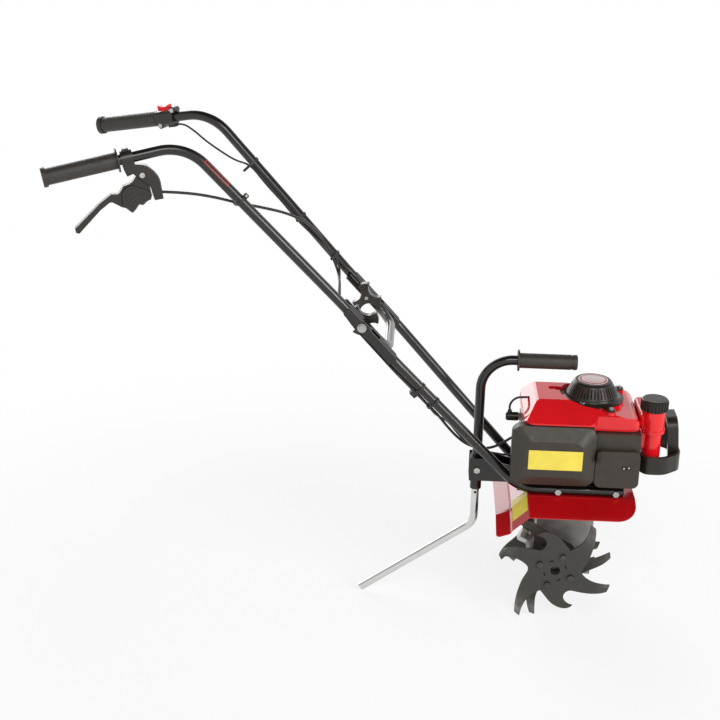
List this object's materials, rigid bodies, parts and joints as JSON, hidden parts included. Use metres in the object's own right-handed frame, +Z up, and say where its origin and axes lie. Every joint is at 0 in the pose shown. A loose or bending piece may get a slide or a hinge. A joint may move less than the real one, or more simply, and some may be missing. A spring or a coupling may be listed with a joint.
{
  "type": "garden tiller",
  "caption": "Small petrol garden tiller with a vertical-shaft engine over worm-driven sickle tines, a folding tube handle, a carry handle and a trailing drag stake.",
  "frame": {"origin": "on the floor, midway along the machine and on its middle plane", "axes": "+X forward from the grips to the engine, +Y to the machine's left, +Z up"},
  "size_m": [1.3584, 0.5704, 1.1091],
  "materials": {
    "black_paint": "gloss powder coat",
    "red_paint": "gloss enamel",
    "red_plastic": "moulded gloss",
    "black_plastic": "fine moulded texture",
    "rubber": "soft matte",
    "zinc": "bright zinc plate",
    "chrome": "bright plated",
    "tine_steel": "dark grey satin paint",
    "brace_steel": "grey satin",
    "alloy": "as cast",
    "steel": "machined",
    "bronze": "machined",
    "iron": "as cast",
    "foam": "open foam"
  },
  "bodies": {
    "frame": {"lower_handles": "black_paint", "handle_joint_plates": "black_paint", "joint_bolts": "zinc", "cross_brace": "brace_steel", "engine_base": "black_paint", "frame_bolts": "zinc", "fender": "red_paint", "rear_bracket": "black_paint", "transport_handle": "black_paint", "transport_grip": "rubber", "clutch_housing": "alloy", "gearcase_left": "alloy", "gearcase_right": "alloy", "gearcase_bearings": "steel", "oil_plug": "zinc", "engine_block": "alloy", "engine_shroud": "red_plastic", "starter_housing": "black_plastic", "starter_screws": "zinc", "fuel_tank": "red_plastic", "air_cleaner_base": "black_plastic", "air_filter": "foam", "air_cleaner_cover": "black_plastic", "side_cover": "black_plastic", "front_guard": "black_plastic", "spark_plug": "steel", "spark_plug_cap": "rubber", "ignition_lead": "rubber", "carburettor": "alloy", "muffler": "steel", "cable_ties_lower": "black_plastic", "cables_lower": "rubber"},
    "upper_handle": {"upper_handles": "black_paint", "handle_grips": "rubber", "throttle_housing": "black_plastic", "switch_housing": "black_plastic", "control_screws": "zinc", "cables_upper": "rubber", "cable_ties_upper": "black_plastic", "cables_span": "rubber"},
    "throttle_lever": {"throttle_lever": "black_plastic"},
    "stop_knob": {"stop_knob": "red_plastic"},
    "joint_knob_left": {"joint_knob_left": "black_plastic"},
    "joint_knob_right": {"joint_knob_right": "black_plastic"},
    "drag_stake": {"drag_stake": "chrome"},
    "fuel_cap": {"fuel_cap": "black_plastic"},
    "starter_grip": {"starter_grip": "black_plastic", "starter_rope": "rubber"},
    "starter_pulley": {"starter_pulley": "black_plastic"},
    "crank": {"crankshaft": "steel", "flywheel": "iron", "clutch_shoes": "steel"},
    "worm": {"worm_shaft": "steel", "clutch_drum": "steel"},
    "tines": {"tine_axle": "steel", "worm_wheel": "bronze", "tine_hubs": "tine_steel", "tine_discs_outer": "tine_steel", "tine_discs_inner": "tine_steel", "tine_bolts": "zinc"}
  },
  "joints": [
    {"name": "tine_spin", "type": "hinge", "parent": "frame", "child": "tines", "pos_m": [0.41473, 0, 0.13], "axis": [0, 1, 0], "continuous": true},
    {"name": "worm_spin", "type": "hinge", "parent": "frame", "child": "worm", "pos_m": [0.47873, 0, 0.18], "axis": [0, 0, 1], "continuous": true},
    {"name": "crank_spin", "type": "hinge", "parent": "frame", "child": "crank", "pos_m": [0.47873, 0, 0.35], "axis": [0, 0, 1], "continuous": true},
    {"name": "handle_fold", "type": "hinge", "parent": "frame", "child": "upper_handle", "pos_m": [-0.03654, 0, 0.70731], "axis": [0, 1, 0], "range_deg": [0, 140], "deforming": ["cables_span"]},
    {"name": "knob_left_spin", "type": "hinge", "parent": "frame", "child": "joint_knob_left", "pos_m": [-0.03654, 0.078, 0.70731], "axis": [0, 1, 0], "continuous": true},
    {"name": "knob_right_spin", "type": "hinge", "parent": "frame", "child": "joint_knob_right", "pos_m": [-0.03654, -0.078, 0.70731], "axis": [0, 1, 0], "continuous": true},
    {"name": "throttle_squeeze", "type": "hinge", "parent": "upper_handle", "child": "throttle_lever", "pos_m": [-0.48638, -0.20196, 1.04257], "axis": [-0.3278, 0.9447, 0], "range_deg": [0, 24], "stiffness_Nm_per_rad": 0.4, "springref_deg": -22.92},
    {"name": "stop_turn", "type": "hinge", "parent": "upper_handle", "child": "stop_knob", "pos_m": [-0.5099, 0.21012, 1.09427], "axis": [-0.1798, 0.0624, 0.9817], "range_deg": [0, 60]},
    {"name": "stake_slide", "type": "slide", "parent": "frame", "child": "drag_stake", "axis": [0, 0, -1], "range_m": [0, 0.02]},
    {"name": "fuel_cap_turn", "type": "hinge", "parent": "frame", "child": "fuel_cap", "pos_m": [0.61273, -0.045, 0.52], "axis": [0, 0, 1], "continuous": true},
    {"name": "starter_pulley_turn", "type": "hinge", "parent": "frame", "child": "starter_pulley", "pos_m": [0.47873, 0, 0.505], "axis": [0, 0, 1], "range_deg": [0, 1080], "stiffness_Nm_per_rad": 0.02, "springref_deg": -343.77},
    {"name": "starter_pull", "type": "slide", "parent": "frame", "child": "starter_grip", "axis": [0, 1, 0], "range_m": [0, 0.52], "deforming": ["starter_rope"]}
  ],
  "couplings": [
    {"joint": "worm_spin", "follows": "tine_spin", "ratio": 40},
    {"joint": "starter_pull", "follows": "starter_pulley_turn", "m_per_rad": 0.027}
  ]
}
